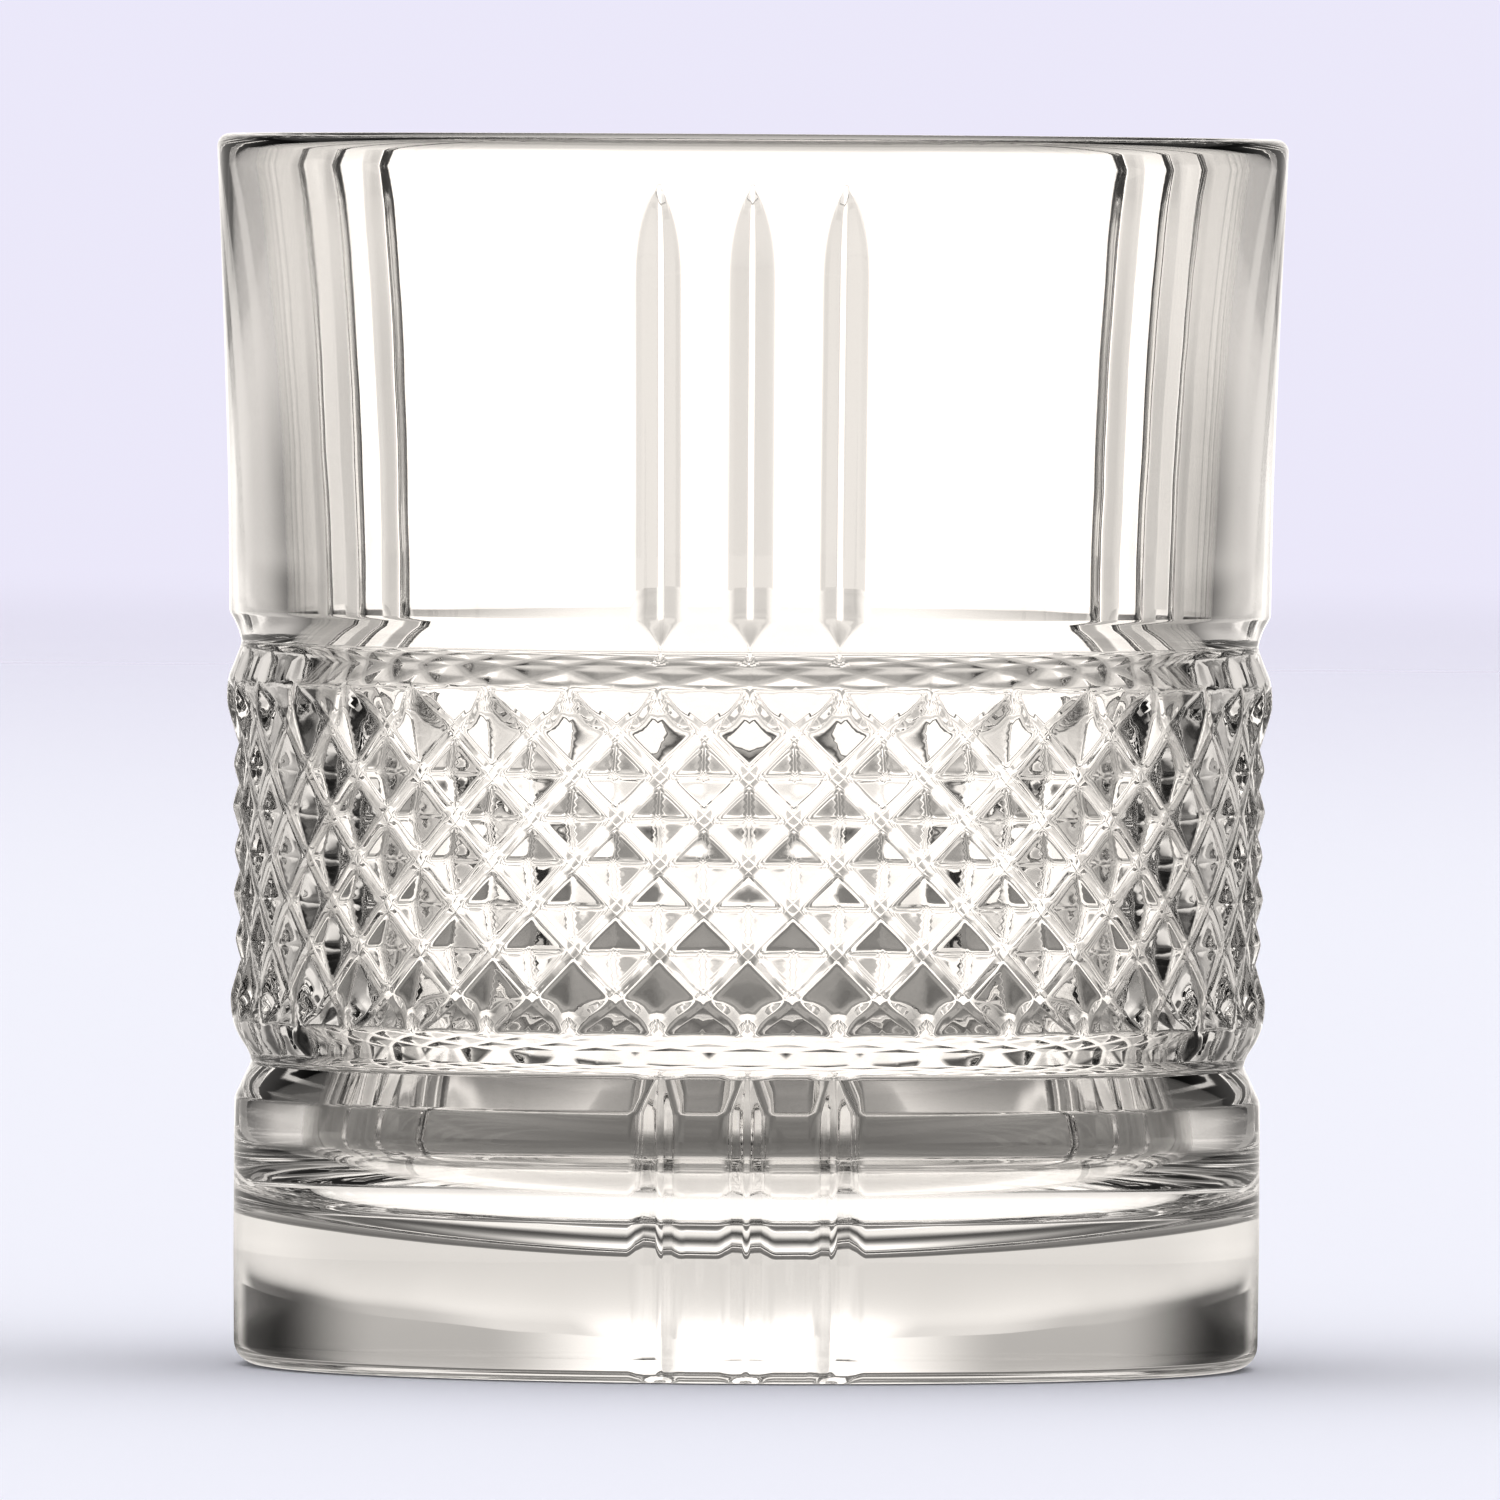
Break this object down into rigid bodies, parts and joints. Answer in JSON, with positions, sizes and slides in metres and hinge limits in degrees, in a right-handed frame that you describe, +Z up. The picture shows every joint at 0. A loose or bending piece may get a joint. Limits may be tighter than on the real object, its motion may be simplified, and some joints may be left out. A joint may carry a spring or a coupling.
{
  "type": "whiskey tumbler",
  "caption": "Heavy pressed-glass tumbler with a flared plain wall, V flutes in groups, a pinched belt of pointed diamonds and a thick fluted foot.",
  "frame": {"origin": "centre of the base, on the plane the tumbler stands on", "axes": "+Z up the tumbler's axis, towards the rim; -Y through the middle flute of one group"},
  "size_m": [0.081, 0.081, 0.093],
  "materials": {
    "clear_glass": "clear colourless soda-lime glass, fire-polished"
  },
  "bodies": {
    "root": {"tumbler": "clear_glass"}
  },
  "joints": []
}
